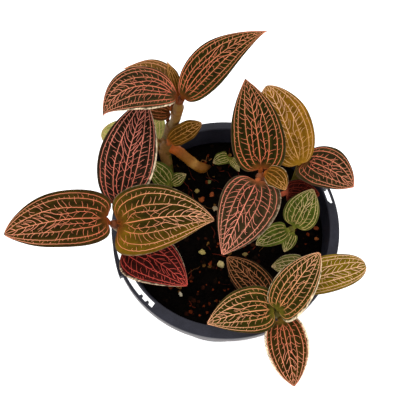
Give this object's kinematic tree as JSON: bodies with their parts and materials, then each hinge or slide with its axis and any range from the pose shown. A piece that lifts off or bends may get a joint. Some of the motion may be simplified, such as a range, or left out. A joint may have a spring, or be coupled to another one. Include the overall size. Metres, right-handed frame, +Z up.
{
  "type": "potted jewel orchid",
  "caption": "Round dark nursery pot filled with soil, holding several low shoots of a jewel orchid with dark, pink-veined oval leaves.",
  "frame": {"origin": "centre of the pot's underside", "axes": "+Z up, +Y towards the back of the plant, +X to its right"},
  "size_m": [0.1582, 0.1447, 0.1427],
  "materials": {
    "pot_plastic": "satin black",
    "potting_mix": "loose bark and peat mix, dull",
    "stem_flesh": "smooth fleshy stem, satin",
    "leaf_olive": "velvety dark olive leaf with pink veins",
    "leaf_maroon": "velvety dark red leaf with red veins",
    "leaf_ochre": "satin ochre leaf with peach veins",
    "leaf_green": "satin young green leaf with pale veins",
    "leaf_lime": "satin pale yellow-green leaf with pink veins"
  },
  "bodies": {
    "root": {"pot": "pot_plastic", "soil": "potting_mix", "back_stem": "stem_flesh", "left_stem": "stem_flesh", "centre_stem": "stem_flesh", "right_stem": "stem_flesh", "front_stem": "stem_flesh", "back_leaf_1": "leaf_olive", "back_leaf_2": "leaf_olive", "back_leaf_3": "leaf_olive", "back_leaf_4": "leaf_olive", "back_leaf_5": "leaf_olive", "back_leaf_6": "leaf_ochre", "back_leaf_7": "leaf_lime", "back_leaf_8": "leaf_lime", "left_leaf_1": "leaf_olive", "left_leaf_2": "leaf_olive", "left_leaf_3": "leaf_olive", "left_leaf_4": "leaf_maroon", "centre_leaf_1": "leaf_olive", "centre_leaf_2": "leaf_olive", "centre_leaf_3": "leaf_ochre", "centre_leaf_4": "leaf_maroon", "right_leaf_1": "leaf_ochre", "right_leaf_2": "leaf_olive", "front_leaf_1": "leaf_olive", "front_leaf_2": "leaf_olive", "front_leaf_3": "leaf_olive", "front_leaf_4": "leaf_olive", "front_leaf_5": "leaf_ochre", "young_right": "leaf_green", "young_left": "leaf_green", "young_front": "leaf_green", "seedling_back": "leaf_green"}
  },
  "joints": []
}
